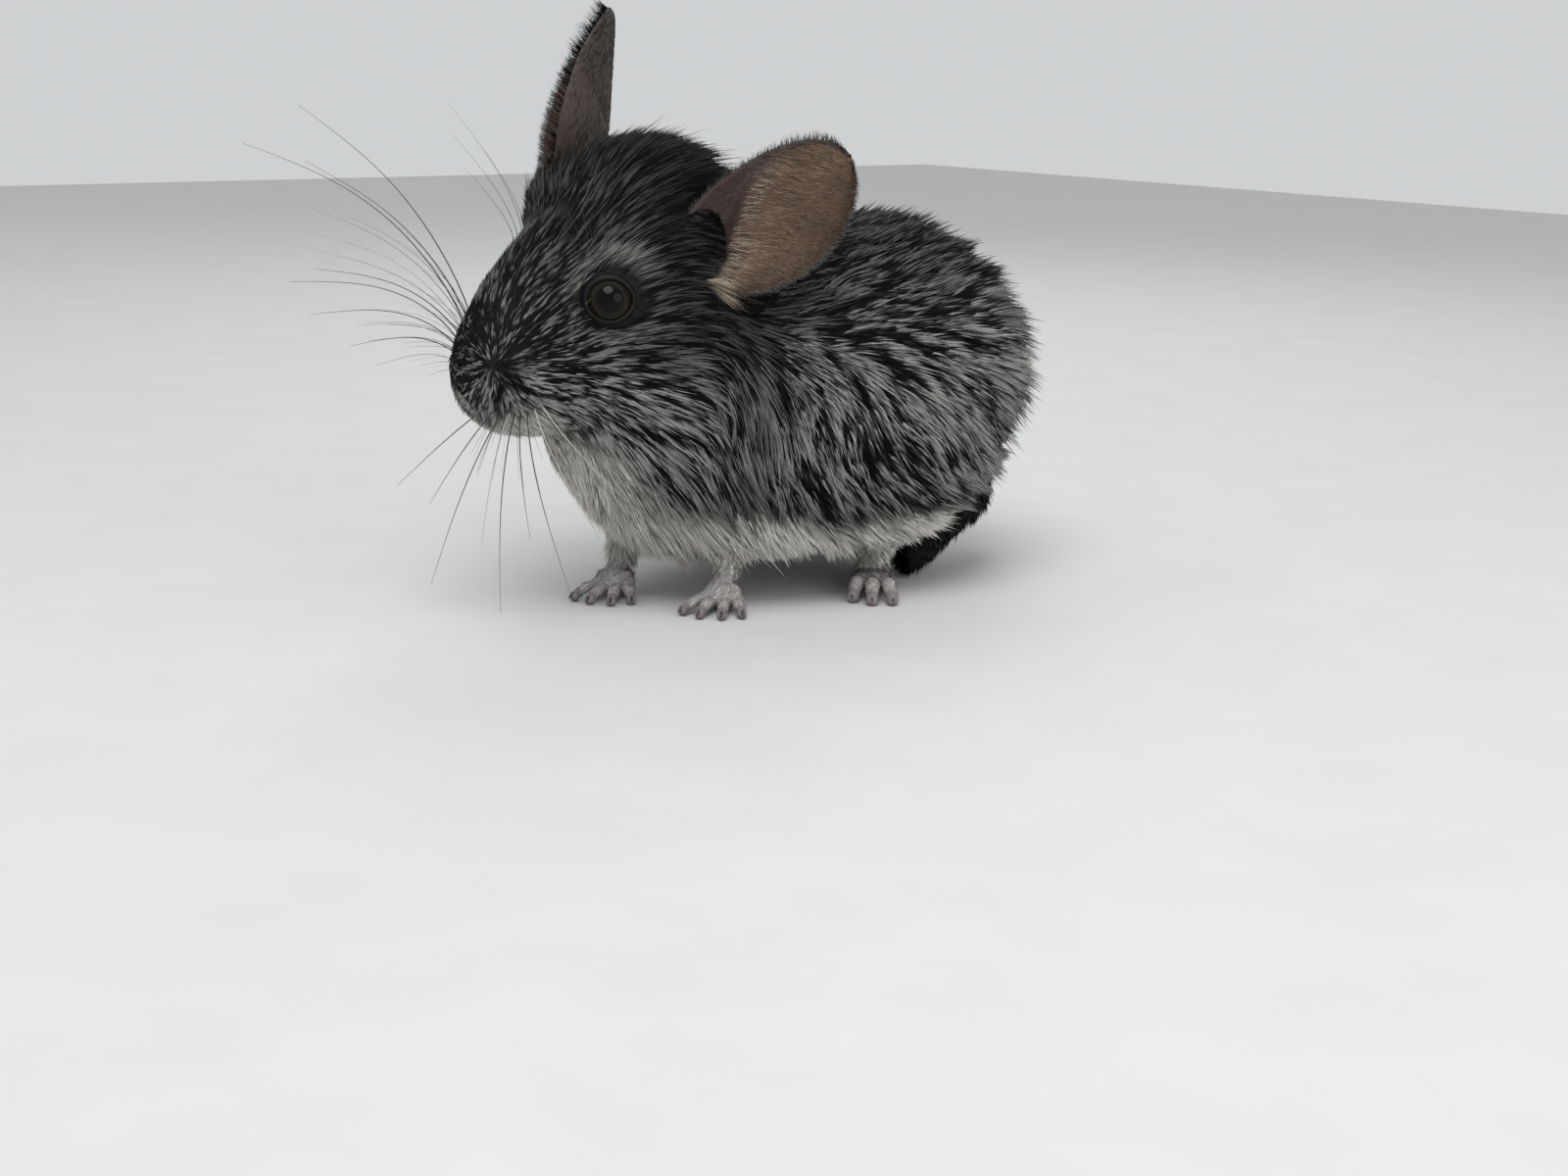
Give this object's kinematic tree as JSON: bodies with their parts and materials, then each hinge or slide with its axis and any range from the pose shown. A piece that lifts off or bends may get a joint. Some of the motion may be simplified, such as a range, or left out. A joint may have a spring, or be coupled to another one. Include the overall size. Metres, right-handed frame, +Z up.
{
  "type": "chinchilla",
  "caption": "Grey chinchilla standing on four feet with its head raised, one ear laid outward, tail curled under the rump and long whiskers, as a still life-size model.",
  "frame": {"origin": "on the floor under the centre of the whole part's bounding box, whiskers included", "axes": "-Y towards the nose, +X towards the animal's left, +Z up from the floor"},
  "size_m": [0.1232, 0.202, 0.1519],
  "materials": {
    "coat": "dense plush grey coat with dark tips and a white belly",
    "ear_skin": "thin bare brownish-pink skin with fine pale hair",
    "eye": "wet, very glossy, near black",
    "paw": "short pale hair over grey-pink skin, dark claws",
    "tail_hair": "coarse near-black hair"
  },
  "bodies": {
    "root": {"torso": "coat", "neck": "coat", "head": "coat", "muzzle": "coat", "haunch_left": "coat", "haunch_right": "coat", "foreleg_left": "coat", "foreleg_right": "coat", "tail_base": "coat", "ear_left": "ear_skin", "ear_right": "ear_skin", "eye_left": "eye", "eye_right": "eye", "forefoot_left": "paw", "forefoot_right": "paw", "hindfoot_left": "paw", "hindfoot_right": "paw", "tail_brush": "tail_hair"}
  },
  "joints": []
}
